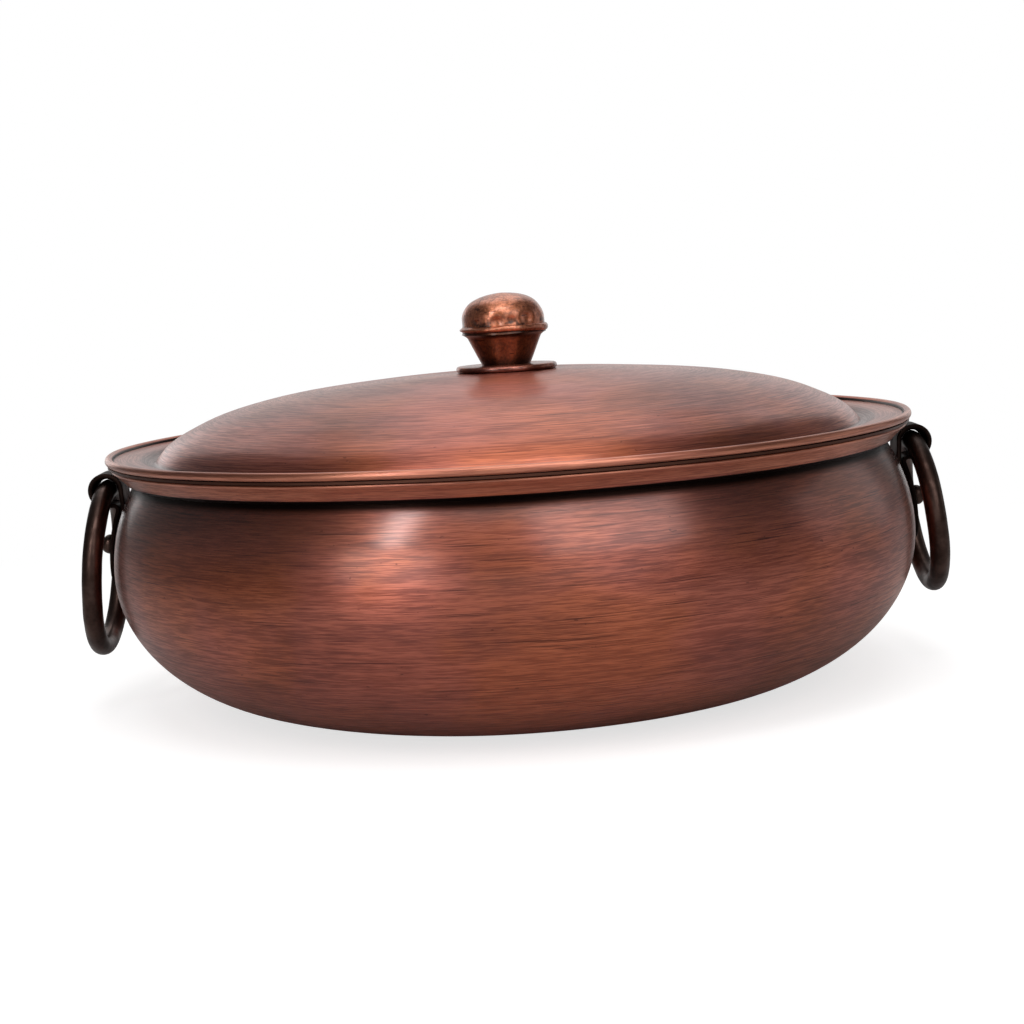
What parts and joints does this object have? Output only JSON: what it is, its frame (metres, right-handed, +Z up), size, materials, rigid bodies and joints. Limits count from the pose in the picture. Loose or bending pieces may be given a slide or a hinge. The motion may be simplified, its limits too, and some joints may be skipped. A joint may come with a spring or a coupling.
{
  "type": "chafing dish",
  "caption": "Round copper chafing dish: a wide-bellied water pot with a lift-out food pan, a domed lid with a knob, and hanging ring handles.",
  "frame": {"origin": "on the table under the middle of the pot's flat base", "axes": "+X along the line through the two ring handles, +Z up, front along -Y"},
  "size_m": [0.3672, 0.3398, 0.1675],
  "materials": {
    "antique_copper": "brushed antique copper, lacquered satin",
    "knob_copper": "mottled antique copper, satin",
    "dark_copper": "dark brown patina, satin",
    "pan_steel": "brushed",
    "fastener_steel": "plain plated"
  },
  "bodies": {
    "pot": {"pot_body": "antique_copper", "bracket_left": "dark_copper", "bracket_right": "dark_copper", "rivet_left": "dark_copper", "rivet_right": "dark_copper", "rivet_burr_left": "dark_copper", "rivet_burr_right": "dark_copper"},
    "pan": {"food_pan": "pan_steel"},
    "lid": {"lid_shell": "antique_copper", "lid_edge_wire": "fastener_steel", "knob_plate": "antique_copper", "knob_cone": "knob_copper", "knob_cap": "knob_copper", "knob_stud": "fastener_steel", "knob_washer": "fastener_steel", "knob_spring_washer": "fastener_steel", "knob_nut": "fastener_steel"},
    "left_ring": {"ring_left": "dark_copper"},
    "right_ring": {"ring_right": "dark_copper"}
  },
  "joints": [
    {"name": "pan_lift", "type": "slide", "parent": "pot", "child": "pan", "axis": [0, 0, 1], "range_m": [0, 0.08]},
    {"name": "lid_lift", "type": "slide", "parent": "pan", "child": "lid", "axis": [0, 0, 1], "range_m": [0, 0.12]},
    {"name": "left_ring_swing", "type": "hinge", "parent": "pot", "child": "left_ring", "pos_m": [-0.1726, 0, 0.0935], "axis": [0, 1, 0], "range_deg": [-7.5, 170]},
    {"name": "right_ring_swing", "type": "hinge", "parent": "pot", "child": "right_ring", "pos_m": [0.1726, 0, 0.0935], "axis": [0, -1, 0], "range_deg": [-7.5, 170]}
  ]
}
